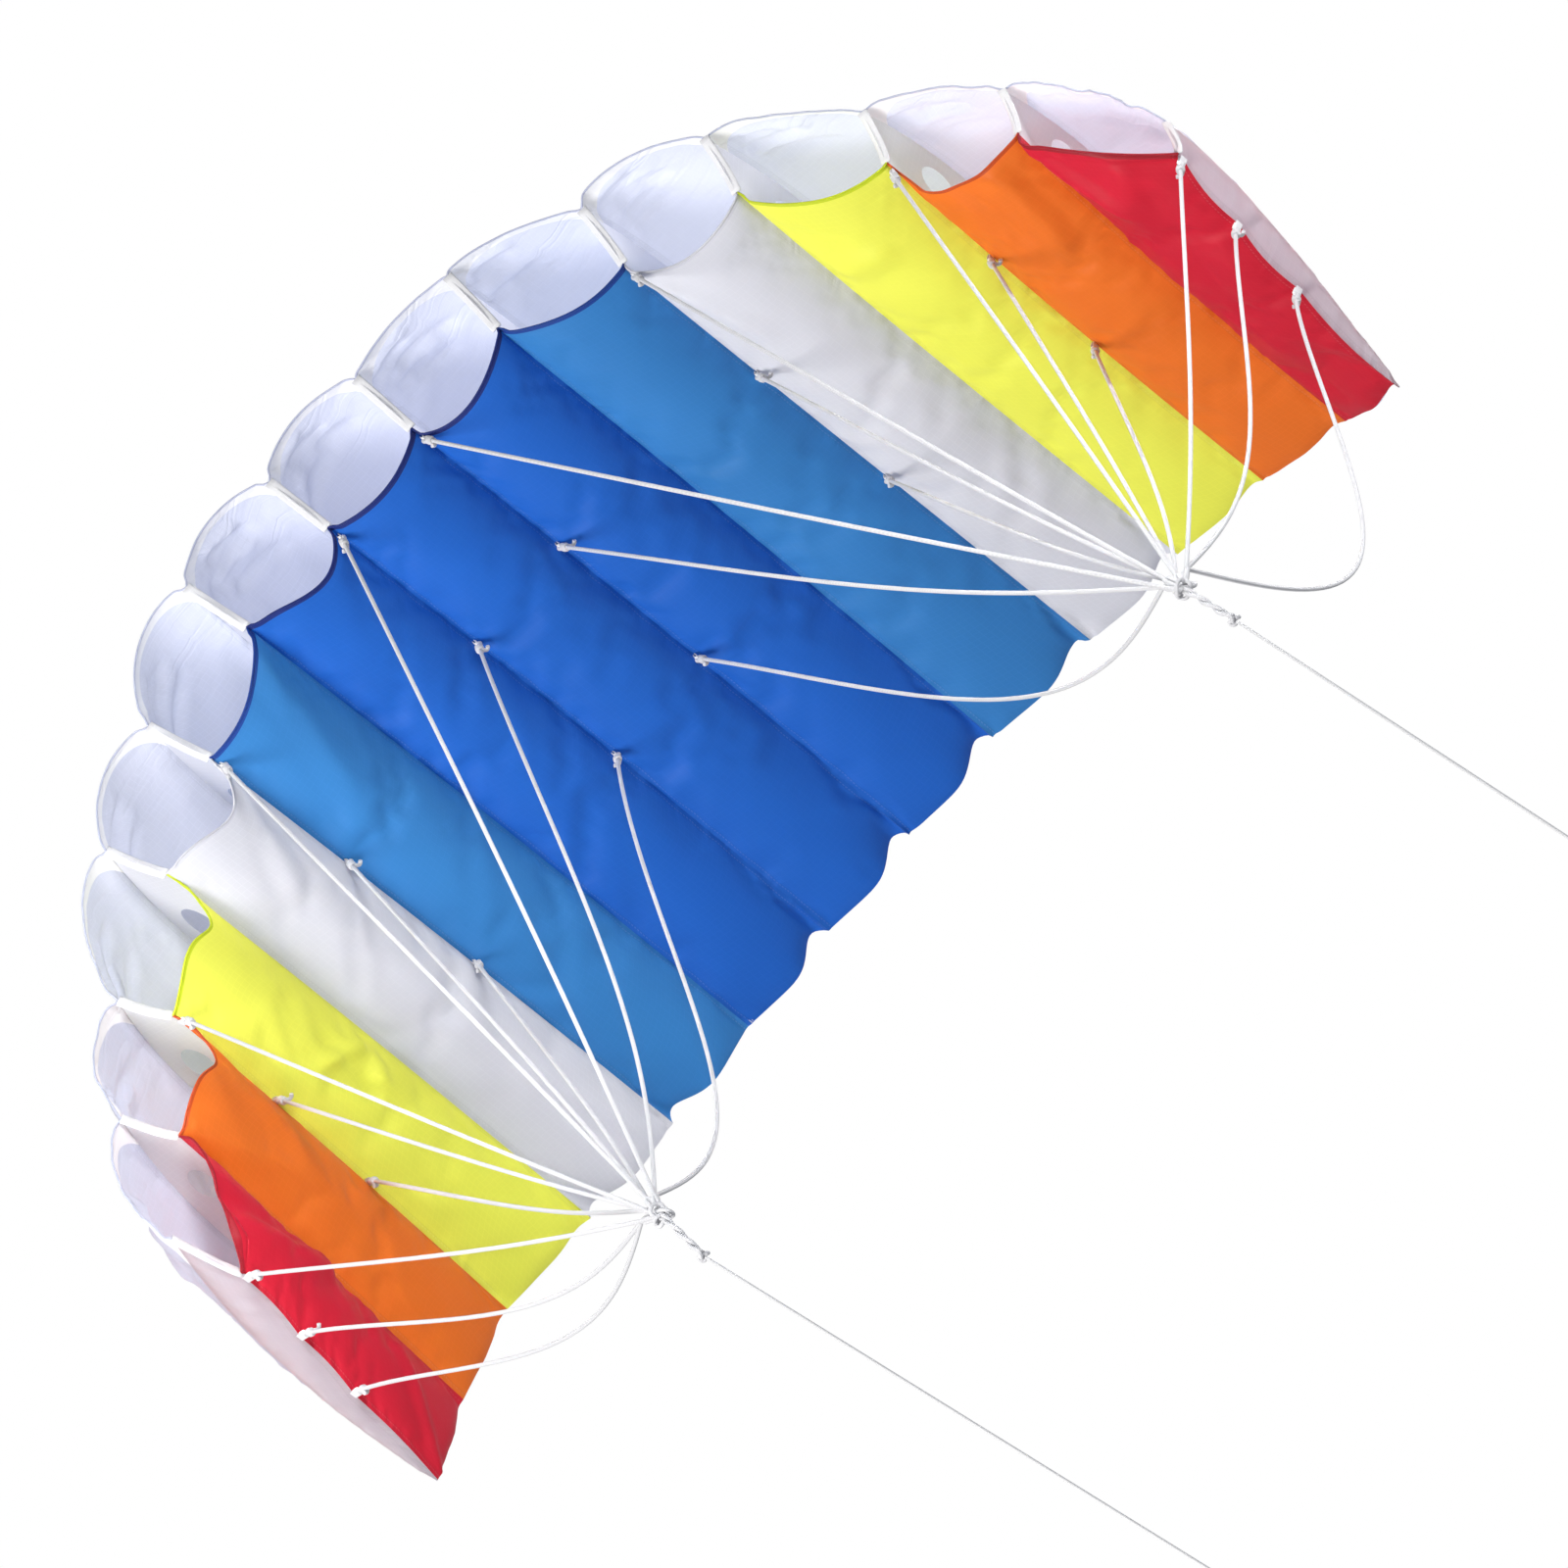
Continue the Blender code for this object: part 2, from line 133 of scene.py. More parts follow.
# ---- cloth mesh ----
ACROSS = 16                # cloth facets across one cell
LOWER_ROWS = 44
UPPER_ROWS = 50
DENSER = 1.3               # rows crowd towards the front edges by this power
HEM_ROWS = 2               # rows of the fine mesh that the front hem takes
SECOND_SLOT = 1            # the hem's or the tape's place in a panel's or a rib's materials
PANEL_ROLL_R, TOP_ROLL_R = 0.0009, 0.0008    # the rolled front edges
PANEL_SEAM_FADE, TOP_SEAM_FADE = 0.008, 0.007    # folds fade out this near to a rib's seam
SIM_FRAMES = 26            # length of the cloth simulation


# ---- camera, light, floor
def set_camera():
    cam = bpy.data.objects.new("camera", bpy.data.cameras.new("camera"))
    bpy.context.collection.objects.link(cam)
    cam.data.lens = LENS
    cam.data.sensor_width = SENSOR
    cam.data.clip_end = 100
    turn = (CAMERA_AIM - CAMERA_EYE).to_track_quat("-Z", "Y").to_matrix().to_4x4()
    roll = Matrix.Rotation(CAMERA_ROLL, 4, "Z")
    cam.matrix_world = Matrix.Translation(CAMERA_EYE) @ turn @ roll
    bpy.context.scene.camera = cam


def area_light(name, place, aim, size, power, colour, spread):
    """A round lamp. One with a spread lights only what lies near its aim, and the camera can't see it."""
    data = bpy.data.lights.new(name, "AREA")
    data.shape = "DISK"
    data.size = size
    data.energy = power
    data.color = colour
    obj = bpy.data.objects.new(name, data)
    bpy.context.collection.objects.link(obj)
    obj.location = place
    obj.rotation_euler = (Vector(aim) - Vector(place)).to_track_quat("-Z", "Y").to_euler()
    if spread is not None:
        data.spread = math.radians(spread)
        obj.visible_camera = False


def set_light():
    world = bpy.data.worlds.new("studio")
    bpy.context.scene.world = world
    world.use_nodes = True
    nodes, links = world.node_tree.nodes, world.node_tree.links
    nodes.clear()
    out = nodes.new("ShaderNodeOutputWorld")
    mix = nodes.new("ShaderNodeMixShader")
    path = nodes.new("ShaderNodeLightPath")
    seen, lit = nodes.new("ShaderNodeBackground"), nodes.new("ShaderNodeBackground")
    seen.inputs["Color"].default_value = (1, 1, 1, 1)
    seen.inputs["Strength"].default_value = 1.0
    lit.inputs["Color"].default_value = (0.93, 0.95, 1.0, 1)
    lit.inputs["Strength"].default_value = ROOM_GLOW
    links.new(path.outputs["Is Camera Ray"], mix.inputs["Fac"])
    links.new(lit.outputs[0], mix.inputs[1])
    links.new(seen.outputs[0], mix.inputs[2])
    links.new(mix.outputs[0], out.inputs["Surface"])
    for light in LIGHTS:
        area_light(*light)
    # straight down, wide and even, so that the floor is pale in every view
    sun = bpy.data.lights.new("overhead", "SUN")
    sun.energy = OVERHEAD_POWER
    sun.angle = OVERHEAD_ANGLE
    bpy.context.collection.objects.link(bpy.data.objects.new("overhead", sun))
    bpy.context.scene.view_settings.view_transform = "Standard"


def make_floor():
    bm = bmesh.new()
    bmesh.ops.create_grid(bm, x_segments=4, y_segments=4, size=FLOOR_HALF)
    mesh = bpy.data.meshes.new("floor")
    bm.to_mesh(mesh)
    bm.free()
    floor = bpy.data.objects.new("floor", mesh)
    floor.location = (0, 0, FLOOR_Z)
    bpy.context.collection.objects.link(floor)
    # the floor throws no light back up on the kite, so the pillows keep their shading
    floor.visible_diffuse = False
    floor.visible_transmission = False
    mat = bpy.data.materials.new("floor")
    mat.use_nodes = True
    shader = mat.node_tree.nodes["Principled BSDF"]
    shader.inputs["Base Color"].default_value = (0.86, 0.86, 0.87, 1)
    shader.inputs["Roughness"].default_value = 0.8
    mesh.materials.append(mat)


# ---- materials
RIPSTOP_GRID, TAPE_GRID = 0.005, 0.0015      # from one thick thread to the next
WEAVE_PITCH = 0.0006       # one thread of the plain weave
STITCH_ROW, STITCH_PITCH = 0.0034, 0.003     # the seam's stitches: their distance from it, their length
PUCKER_PITCH = 0.013       # the seam's small gathers
COLOURS = {
    "blue": (0.014, 0.140, 0.60),
    "light_blue": (0.042, 0.240, 0.60),
    "white": (0.78, 0.78, 0.82),
    "yellow": (0.95, 0.97, 0.11),
    "orange": (0.90, 0.19, 0.018),
    "red": (0.66, 0.012, 0.035),
}
# darker copies of the panel colours for the doubled front hems: a real doubled hem, darkened further with
# painted shade for the lesser light that comes through two layers
HEM_SHADED_COLOURS = {
    "blue": (0.008, 0.022, 0.17),
    "light_blue": (0.010, 0.05, 0.28),
    "white": (0.70, 0.70, 0.76),
    "yellow": (0.62, 0.72, 0.02),
    "orange": (0.62, 0.08, 0.012),
    "red": (0.36, 0.006, 0.018),
}
CELL_COLOURS = ("blue", "blue", "light_blue", "white", "yellow", "orange", "red")


def cell_colour(cell):
    return CELL_COLOURS[abs(cell - CELLS // 2)]


class Nodes:
    """Small helper that adds shader nodes to one material and links them."""

    def __init__(self, name):
        self.mat = bpy.data.materials.new(name)
        self.mat.use_nodes = True
        self.tree = self.mat.node_tree
        self.tree.nodes.clear()

    def add(self, kind, values=None, links=None, **settings):
        node = self.tree.nodes.new(kind)
        for key, value in settings.items():
            setattr(node, key, value)
        for key, value in (values or {}).items():
            node.inputs[key].default_value = value
        for key, socket in (links or {}).items():
            self.tree.links.new(socket, node.inputs[key])
        return node

    def math(self, operation, a, b=None):
        node = self.add("ShaderNodeMath", operation=operation)
        for i, value in enumerate((a, b)):
            if isinstance(value, (int, float)):
                node.inputs[i].default_value = value
            elif value is not None:
                self.tree.links.new(value, node.inputs[i])
        return node.outputs[0]

    def mix(self, factor, a, b):
        node = self.add("ShaderNodeMix", data_type="RGBA")
        for index, value in ((0, factor), (6, a), (7, b)):
            if isinstance(value, (int, float, tuple)):
                node.inputs[index].default_value = value
            else:
                self.tree.links.new(value, node.inputs[index])
        return node.outputs[2]

    def ramp(self, factor, low, high):
        node = self.add("ShaderNodeMapRange", {"From Min": low, "From Max": high}, {"Value": factor})
        return node.outputs["Result"]


def cloth_material(name, colour, shine_through, grid=RIPSTOP_GRID, hem=None):
    """Thin ripstop: plain weave with a thicker thread every grid metres, and light shining through.
    The rib seams are doubled, stitched and puckered, and the band along them is darkened with painted shade.
    hem gives the colour of a doubled front edge."""
    n = Nodes(name)
    uv = n.add("ShaderNodeUVMap", uv_map="cloth").outputs["UV"]
    sep = n.add("ShaderNodeSeparateXYZ", links={"Vector": uv})
    edge_uv = n.add("ShaderNodeUVMap", uv_map="edge").outputs["UV"]
    edge = n.add("ShaderNodeSeparateXYZ", links={"Vector": edge_uv})
    place = n.add("ShaderNodeTexCoord").outputs["Object"]
    lines = []
    for axis in ("X", "Y"):
        run = n.math("DIVIDE", sep.outputs[axis], grid)
        off = n.math("ABSOLUTE", n.math("SUBTRACT", n.math("FRACT", run), 0.5))
        lines.append(n.ramp(off, 0.07, 0.02))
    thread = n.math("MAXIMUM", lines[0], lines[1])
    weave_a = n.math("SINE", n.math("MULTIPLY", sep.outputs["X"], 2 * math.pi / WEAVE_PITCH))
    weave_b = n.math("SINE", n.math("MULTIPLY", sep.outputs["Y"], 2 * math.pi / WEAVE_PITCH))
    weave = n.math("MULTIPLY", weave_a, weave_b)
    cloud = n.add("ShaderNodeTexNoise", {"Scale": 5.0, "Detail": 3.0}, {"Vector": place})
    crease = n.add("ShaderNodeTexNoise", {"Scale": 24.0, "Detail": 4.0, "Distortion": 1.2},
                   {"Vector": place})
    speck = n.add("ShaderNodeTexNoise", {"Scale": 700.0, "Detail": 1.0}, {"Vector": place})
    # how near the rib seam is, for its darker band of painted shade, and the stitches that run along it
    seam = n.ramp(edge.outputs["X"], 0.0050, 0.0044)
    row = n.math("ABSOLUTE", n.math("SUBTRACT", edge.outputs["X"], STITCH_ROW))
    along = n.math("MULTIPLY", sep.outputs["Y"], 2 * math.pi / STITCH_PITCH)
    dash = n.math("GREATER_THAN", n.math("SINE", along), -0.3)
    stitch = n.math("MULTIPLY", n.ramp(row, 0.0005, 0.0003), dash)
    fade = n.math("EXPONENT", n.math("MULTIPLY", edge.outputs["X"], -220.0))
    gather = n.math("ADD", n.math("MULTIPLY", sep.outputs["Y"], 2 * math.pi / PUCKER_PITCH),
                    n.math("MULTIPLY", crease.outputs["Fac"], 16.0))
    pucker = n.math("MULTIPLY", n.math("SINE", gather), fade)
    shade = n.ramp(cloud.outputs["Fac"], 0.3, 0.7)
    deep = tuple(c * 0.90 for c in colour)
    base = n.mix(shade, (*deep, 1), (*colour, 1))
    lighter = tuple(min(1.0, c * 1.05 + 0.008) for c in colour)
    base = n.mix(n.math("MULTIPLY", thread, 0.32), base, (*lighter, 1))
    base = n.mix(n.math("MULTIPLY", speck.outputs["Fac"], 0.10), base, (*deep, 1))
    # painted shade: the colour darkens within about 5 mm of each rib seam, as if the seam's valley were in
    # shade, over the real doubled seam allowance
    base = n.mix(n.math("MULTIPLY", seam, 0.30), base, (*(c * 0.72 for c in colour), 1))
    base = n.mix(n.math("MULTIPLY", stitch, 0.45), base, (*(min(1.0, c * 0.9 + 0.10) for c in colour), 1))
    through = shine_through
    if hem is not None:
        corner = n.math("EXPONENT", n.math("MULTIPLY", edge.outputs["X"], -90.0))
        band = n.math("SUBTRACT", edge.outputs["Y"], n.math("MULTIPLY", corner, 0.020))
        doubled = n.ramp(band, 0.0072, 0.0062)
        base = n.mix(doubled, base, (*hem, 1))
        single = n.math("SUBTRACT", 1.0, n.math("MULTIPLY", doubled, 0.6))
        through = n.math("MULTIPLY", single, shine_through)
        slant = n.add("ShaderNodeMapping", {"Rotation": (0, 0, 0.25), "Scale": (12.0, 55.0, 1.0)},
                      {"Vector": uv})
        fold = n.add("ShaderNodeTexNoise", {"Scale": 1.0, "Detail": 1.5, "Distortion": 0.6},
                     {"Vector": slant.outputs[0]})
        ridge = n.math("ABSOLUTE", n.math("SUBTRACT", fold.outputs["Fac"], 0.5))
        near = n.math("EXPONENT", n.math("MULTIPLY", edge.outputs["Y"], -16.0))
        folds = n.math("MULTIPLY", n.ramp(ridge, 0.10, 0.0), near)
    height = n.math("ADD", n.math("MULTIPLY", thread, 0.5), n.math("MULTIPLY", weave, 0.18))
    height = n.math("ADD", height, n.math("MULTIPLY", stitch, 1.6))
    fine = n.add("ShaderNodeBump", {"Strength": 0.30, "Distance": 0.00018}, {"Height": height})
    gathers = n.add("ShaderNodeBump", {"Strength": 0.5, "Distance": 0.0006},
                    {"Height": pucker, "Normal": fine.outputs[0]})
    soft = n.add("ShaderNodeBump", {"Strength": 0.06, "Distance": 0.004},
                 {"Height": crease.outputs["Fac"], "Normal": gathers.outputs[0]})
    if hem is not None:
        soft = n.add("ShaderNodeBump", {"Strength": 0.28, "Distance": 0.0022},
                     {"Height": folds, "Normal": soft.outputs[0]})
    rough = n.math("ADD", n.math("MULTIPLY", crease.outputs["Fac"], 0.22), 0.40)
    shader = n.add("ShaderNodeBsdfPrincipled",
                   {"Sheen Weight": 0.08, "Sheen Roughness": 0.4, "Specular IOR Level": 0.30},
                   {"Base Color": base, "Roughness": rough, "Normal": soft.outputs[0]})
    lit = n.add("ShaderNodeBsdfTranslucent", links={"Color": base, "Normal": soft.outputs[0]})
    both = n.add("ShaderNodeMixShader", links={1: shader.outputs[0], 2: lit.outputs[0]})
    if isinstance(through, float):
        both.inputs["Fac"].default_value = through
    else:
        n.tree.links.new(through, both.inputs["Fac"])
    n.add("ShaderNodeOutputMaterial", links={"Surface": both.outputs[0]})
    return n.mat


def cord_material(name, colour, pitch):
    """Braided cord: slanting strands of the given pitch round the tube, a matt and slightly fuzzy surface,
    and light that soaks through the fibres."""
    n = Nodes(name)
    place = n.add("ShaderNodeTexCoord").outputs["Object"]
    braid = n.add("ShaderNodeTexWave", {"Scale": 1 / pitch, "Distortion": 1.5, "Detail": 2.0},
                  {"Vector": place}, wave_type="BANDS", bands_direction="DIAGONAL")
    fuzz = n.add("ShaderNodeTexNoise", {"Scale": 900.0, "Detail": 3.0}, {"Vector": place})
    deep = tuple(c * 0.88 for c in colour)
    base = n.mix(braid.outputs["Fac"], (*deep, 1), (*colour, 1))
    height = n.math("ADD", braid.outputs["Fac"], n.math("MULTIPLY", fuzz.outputs["Fac"], 0.4))
    bump = n.add("ShaderNodeBump", {"Strength": 0.3, "Distance": 0.0002}, {"Height": height})
    shader = n.add("ShaderNodeBsdfPrincipled",
                   {"Roughness": 0.7, "Sheen Weight": 0.3, "Specular IOR Level": 0.3,
                    "Subsurface Weight": 0.6, "Subsurface Radius": (1, 1, 1), "Subsurface Scale": 0.002},
                   {"Base Color": base, "Normal": bump.outputs[0]})
    n.add("ShaderNodeOutputMaterial", links={"Surface": shader.outputs[0]})
    return n.mat


# ---- small builders
def add_object(name, data, body):
    obj = bpy.data.objects.new(name, data)
    bpy.context.collection.objects.link(obj)
    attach(obj, body)
    return obj


def tube_curve(name, paths, diameter, mat, body):
    curve = bpy.data.curves.new(name, "CURVE")
    curve.dimensions = "3D"
    curve.bevel_depth = diameter / 2
    curve.bevel_resolution = 3
    curve.use_fill_caps = True
    for path in paths:
        spline = curve.splines.new("POLY")
        spline.points.add(len(path) - 1)
        for point, place in zip(spline.points, path):
            point.co = (*place, 1.0)
    curve.materials.append(mat)
    return add_object(name, curve, body)


def smooth_path(route, per_leg):
    """Points on a Catmull-Rom curve through the route points."""
    pts = [route[0] * 2 - route[1]] + list(route) + [route[-1] * 2 - route[-2]]
    path = []
    for i in range(1, len(pts) - 2):
        p0, p1, p2, p3 = pts[i - 1:i + 3]
        for j in range(per_leg):
            t = j / per_leg
            path.append(0.5 * (2 * p1 + (p2 - p0) * t + (2 * p0 - 5 * p1 + 4 * p2 - p3) * t * t
                               + (3 * p1 - p0 - 3 * p2 + p3) * t ** 3))
    path.append(pts[-2])
    return path


# ---- the canopy's shape
def rib_places():
    places = []
    x, z = CELL / 2, RIB_Z
    for k in range(7):
        inner = TIP_TILT * (k / 6) ** TILT_POWER
        outer = TIP_TILT * (min(k + 1, 6) / 6) ** TILT_POWER
        lean = (inner + outer) / 2
        t = (k + 0.5) / 6.5
        front = LE_Y + LE_SWEEP * t ** LE_POWER
        back = LE_Y + CHORD - TE_SWEEP * t ** TE_POWER
        thick = 1 - TIP_THINNING * t ** 3
        up = Vector((math.sin(lean), 0, math.cos(lean)))
        places.append((Vector((x, front, z)), up, back - front, thick))
        x += CELL * math.cos(outer)
        z -= CELL * math.sin(outer)
    left = [(Vector((-p.x, p.y, p.z)), Vector((-u.x, u.y, u.z)), c, h) for p, u, c, h in reversed(places)]
    return left + places


RIBS = rib_places()


def ease(x, low, high):
    """0 below low, 1 above high, a smooth step between; low may be the larger."""
    t = min(1.0, max(0.0, (x - low) / (high - low)))
    return t * t * (3 - 2 * t)


def out_of_centre(index):
    """A rib's number counted outward from the centre cell."""
    return index - 7 if index > 6 else 6 - index


def bridled_rib(side, column):
    """The rib that one column of bridle lines holds; side is -1 for left and 1 for right."""
    return 7 + BRIDLED[column] if side > 0 else 6 - BRIDLED[column]


def rib_across(index):
    """The direction straight out of a rib's flat side, to the right."""
    up = RIBS[index][1]
    return Vector((up.z, 0, -up.x))


def tip_share(cell):
    """0 for the middle cells, rising to 1 at the two tip cells."""
    return max(0, abs(cell - CELLS // 2) - 3) / 3


def flown(index, v):
    """How far a rib sits off its even place in flight, at the fraction v of its chord."""
    u = (index - 6.5) / 6.5
    front, back = max(0.0, 1 - v) ** 2, max(0.0, v) ** 1.5
    ahead = BRIDLED_BACK if out_of_centre(index) in BRIDLED else -FREE_AHEAD
    shift = Vector((FRONT_SPREAD * u * u - FRONT_DRIFT, ahead, 0)) * front
    left = ease(u, -0.42, -0.72)
    right = ease(u, 0.15, 0.45) * ease(u, 1.0, 0.85)
    return shift + (LEFT_SWEEP * left + RIGHT_SWEEP * right) * back


def scallop(index, v):
    """How far a tip seam is drawn in between its line tabs."""
    if index not in (0, LAST_RIB):
        return 0.0
    stops = (0.0, *ROWS.values(), 1.0)
    for a, b in zip(stops, stops[1:]):
        if a <= v < b:
            depth = SIDE_SCALLOP[index > 6] * math.sin(math.pi * (v - a) / (b - a))
            return depth if index < 7 else -depth
    return 0.0


def top_height(q, chord, thick):
    """A rib's height at q, which is 0 at the nose and 1 at the trailing edge."""
    return chord * thick * (1 - q) * (NOSE_HEIGHT + CAMBER * (1 - (1 - q) ** 3)) + TE_HEIGHT


def foot_point(index, v):
    """A point on a rib's lower seam, v of the chord behind its front."""
    foot, _, chord, _ = RIBS[index]
    return foot + Vector((scallop(index, v), v * chord, 0)) + flown(index, v)


def top_point(index, q):
    """A point on a rib's upper seam, from the nose at 0 to the trailing edge at 1."""
    foot, up, chord, thick = RIBS[index]
    y = chord * (q * (1 + NOSE_AHEAD) - NOSE_AHEAD)
    y -= TIP_NOSE * ease(index, 1.6, 0.0) * max(0.0, 1 - q) ** 3
    return foot + Vector((0, y, 0)) + up * top_height(q, chord, thick) + flown(index, max(0.0, q))


def cell_up(cell):
    """The direction out of a cell's upper side."""
    across = RIBS[cell + 1][0] - RIBS[cell][0]
    return Vector((-across.z, 0, across.x)).normalized()


# ---- cloth
ROWS_TOTAL = LOWER_ROWS + UPPER_ROWS + 1
COLS = ACROSS + 1


def column_place(col):
    """Columns crowd towards both seams."""
    s = col / ACROSS
    return 0.5 * s + 0.5 * (1 - math.cos(math.pi * s)) / 2


def skewed_arch(s, peak):
    """0 at both seams and 1 at peak."""
    t = s ** (math.log(0.5) / math.log(peak))
    return 4 * t * (1 - t)


def row_place(row):
    """True for the lower panel, and the row's place along its own chord, 0 at the front."""
    if row <= LOWER_ROWS:
        return True, (row / LOWER_ROWS) ** DENSER
    return False, ((ROWS_TOTAL - 1 - row) / UPPER_ROWS) ** DENSER


def cut_cloth():
    """Grid points of every cell's cloth as [cell, row, column]: lower panel back to the trailing edge,
    then the top skin forward to the nose."""
    grid = np.zeros((CELLS, ROWS_TOTAL, COLS, 3))
    for cell in range(CELLS):
        up = cell_up(cell)
        scoop, peak = HEM_SCOOP[cell]
        bulge, bulge_peak = NOSE_BULGE[cell]
        for row in range(ROWS_TOTAL):
            below, v = row_place(row)
            wave_part = TE_WAVINESS[cell] * v ** 5
            if below:
                pa, pb = foot_point(cell, v), foot_point(cell + 1, v)
            else:
                pa, pb = top_point(cell, v), top_point(cell + 1, v)
            for col in range(COLS):
                s = column_place(col)
                arch = 4 * s * (1 - s)
                # the trailing edge sags at the middle of a cell and lifts just before the next rib
                turned = 1 - s if cell in TE_TURNED else s
                wave = -TE_WAVE * math.sin(2 * math.pi * turned ** 2.25) * wave_part
                tuck = (0.003 * arch - TE_TUCK * skewed_arch(turned, 0.86) ** 2) * wave_part
                if below:
                    rise = -PANEL_PILLOW * (1 - v ** 4) * (1 - abs(2 * s - 1) ** 2.3) + wave
                    slide = scoop * (1 - v) ** 5 * skewed_arch(s, peak) + tuck
                else:
                    rise = UPPER_PILLOW * (1 - v ** 4) * arch * (1 - (1 - bulge) * (1 - v) ** 4) + wave
                    slide = tuck - NOSE_PILLOW * bulge * (1 - v) ** 4 * skewed_arch(s, bulge_peak)
                grid[cell, row, col] = pa.lerp(pb, s) + up * rise + Vector((0, slide, 0))
    return grid


def grid_faces(cells, rows, cols):
    faces = []
    for cell in range(cells):
        start = cell * rows * cols
        for r in range(rows - 1):
            for c in range(cols - 1):
                a = start + r * cols + c
                faces.append((a, a + cols, a + cols + 1, a + 1))
    return faces


def blow_up(grid):
    """Inflates the cloth between its ribs and returns the new points."""
    mesh = bpy.data.meshes.new("cloth_sim")
    mesh.from_pydata(grid.reshape(-1, 3).tolist(), [], grid_faces(CELLS, ROWS_TOTAL, COLS))
    obj = bpy.data.objects.new("cloth_sim", mesh)
    bpy.context.collection.objects.link(obj)
    held = obj.vertex_groups.new(name="held")
    slack = obj.vertex_groups.new(name="slack")
    for cell in range(CELLS):
        for row in range(ROWS_TOTAL):
            # the cloth is cut fuller at the tips and in the last rows before the nose
            nose = max(0.0, 1 - (ROWS_TOTAL - 1 - row) / 16)
            loose = min(1.0, 0.30 * tip_share(cell) + 0.75 * nose)
            for col in range(COLS):
                index = (cell * ROWS_TOTAL + row) * COLS + col
                if col in (0, ACROSS):
                    held.add([index], 1.0, "REPLACE")
                if loose > 0:
                    slack.add([index], loose, "REPLACE")
    mod = obj.modifiers.new("inflate", "CLOTH")
    s = mod.settings
    s.quality = 5
    s.mass = 0.1
    s.tension_stiffness = s.compression_stiffness = 60
    s.shear_stiffness = 25
    s.bending_stiffness = 0.0005
    s.air_damping = 2
    s.use_pressure = True
    s.uniform_pressure_force = 30
    s.vertex_group_mass = "held"
    s.vertex_group_shrink = "slack"
    s.shrink_min = -0.008
    s.shrink_max = -0.06
    s.effector_weights.gravity = 0
    mod.collision_settings.use_collision = False
    mod.point_cache.frame_start = 1
    mod.point_cache.frame_end = SIM_FRAMES + 1
    scene = bpy.context.scene
    for step in range(1, SIM_FRAMES + 1):
        scene.frame_set(step)
    shaped = obj.evaluated_get(bpy.context.evaluated_depsgraph_get()).data
    flat = np.empty(len(mesh.vertices) * 3)
    shaped.vertices.foreach_get("co", flat)
    scene.frame_set(1)
    bpy.data.objects.remove(obj, do_unlink=True)
    return flat.reshape(grid.shape)


def finer(grid, times):
    """The same surfaces with each facet cut into times x times, on a smooth curve through the points."""
    for axis in (1, 2):
        grid = np.moveaxis(grid, axis, 0)
        ext = np.concatenate([2 * grid[:1] - grid[1:2], grid, 2 * grid[-1:] - grid[-2:-1]])
        out = []
        for i in range(len(grid) - 1):
            p0, p1, p2, p3 = ext[i:i + 4]
            for j in range(times):
                t = j / times
                out.append(0.5 * (2 * p1 + (p2 - p0) * t + (2 * p0 - 5 * p1 + 4 * p2 - p3) * t * t
                                  + (3 * p1 - p0 - 3 * p2 + p3) * t ** 3))
        out.append(grid[-1])
        grid = np.moveaxis(np.array(out), 0, axis)
    return grid


def surface_normals(sheet):
    """Unit normals of one grid of points, on the outer side of the kite."""
    n = np.cross(np.gradient(sheet, axis=0), np.gradient(sheet, axis=1))
    return n / np.maximum(np.linalg.norm(n, axis=2, keepdims=True), 1e-12)


def distances(sheet):
    """Lengths along the cloth in metres: across from the left seam, and along from the first row."""
    across = np.cumsum(np.linalg.norm(np.diff(sheet, axis=1, prepend=sheet[:, :1]), axis=2), axis=1)
    along = np.cumsum(np.linalg.norm(np.diff(sheet, axis=0, prepend=sheet[:1]), axis=2), axis=0)
    return across, along


def crease_height(s, run, s0, r0, s1, r1, height, width):
    """A straight crease between two points, with the cloth falling away evenly on both sides."""
    length = math.hypot(s1 - s0, r1 - r0)
    ts = ((s - s0) * (s1 - s0) + (run - r0) * (r1 - r0)) / length ** 2
    off = np.abs((s - s0) * (r1 - r0) - (run - r0) * (s1 - s0)) / length
    body = np.clip(1 - np.maximum(0, np.abs(ts - 0.5) - 0.5) * length / width, 0, 1)
    crest = np.sqrt(off ** 2 + 0.0008 ** 2) / width
    return height * np.clip(1 - crest, 0, 1) * body


def crumple(s, run, seed, scale):
    """Sharp-edged random folds, for cloth that hangs loose."""
    rows, cols = s.shape
    out = np.empty((rows, cols))
    for r in range(rows):
        for c in range(cols):
            p = Vector((s[r, c] * scale + seed * 7.1, run[r, c] * scale * 0.7, 3.3 + seed))
            out[r, c] = 1 - 2 * abs(noise.noise(p)) - abs(noise.noise(p * 2.1))
    return out


def cloth_mesh(name, sheet, mats, front_first, hem_rows=0):
    """A mesh from one grid of points with its cloth UV in metres. The edge map holds the distance to the
    rib seam and to the front edge. The front rows take the hem's material."""
    rows, cols = sheet.shape[:2]
    mesh = bpy.data.meshes.new(name)
    mesh.from_pydata(sheet.reshape(-1, 3).tolist(), [], grid_faces(1, rows, cols))
    for mat in mats:
        mesh.materials.append(mat)
    across, along = distances(sheet)
    front = along if front_first else along[-1] - along
    seam = np.minimum(across, across[:, -1:] - across)
    loops = np.empty(len(mesh.loops), dtype=int)
    mesh.loops.foreach_get("vertex_index", loops)
    for layer, a, b in (("cloth", across, along), ("edge", seam, front)):
        uv = np.stack([a.ravel()[loops], b.ravel()[loops]], axis=1)
        mesh.uv_layers.new(name=layer).data.foreach_set("uv", uv.ravel())
    if hem_rows:
        index = np.zeros(len(mesh.polygons), dtype=int)
        index[:hem_rows * (cols - 1)] = SECOND_SLOT
        mesh.polygons.foreach_set("material_index", index)
    mesh.shade_smooth()
    mesh.update()
    return mesh


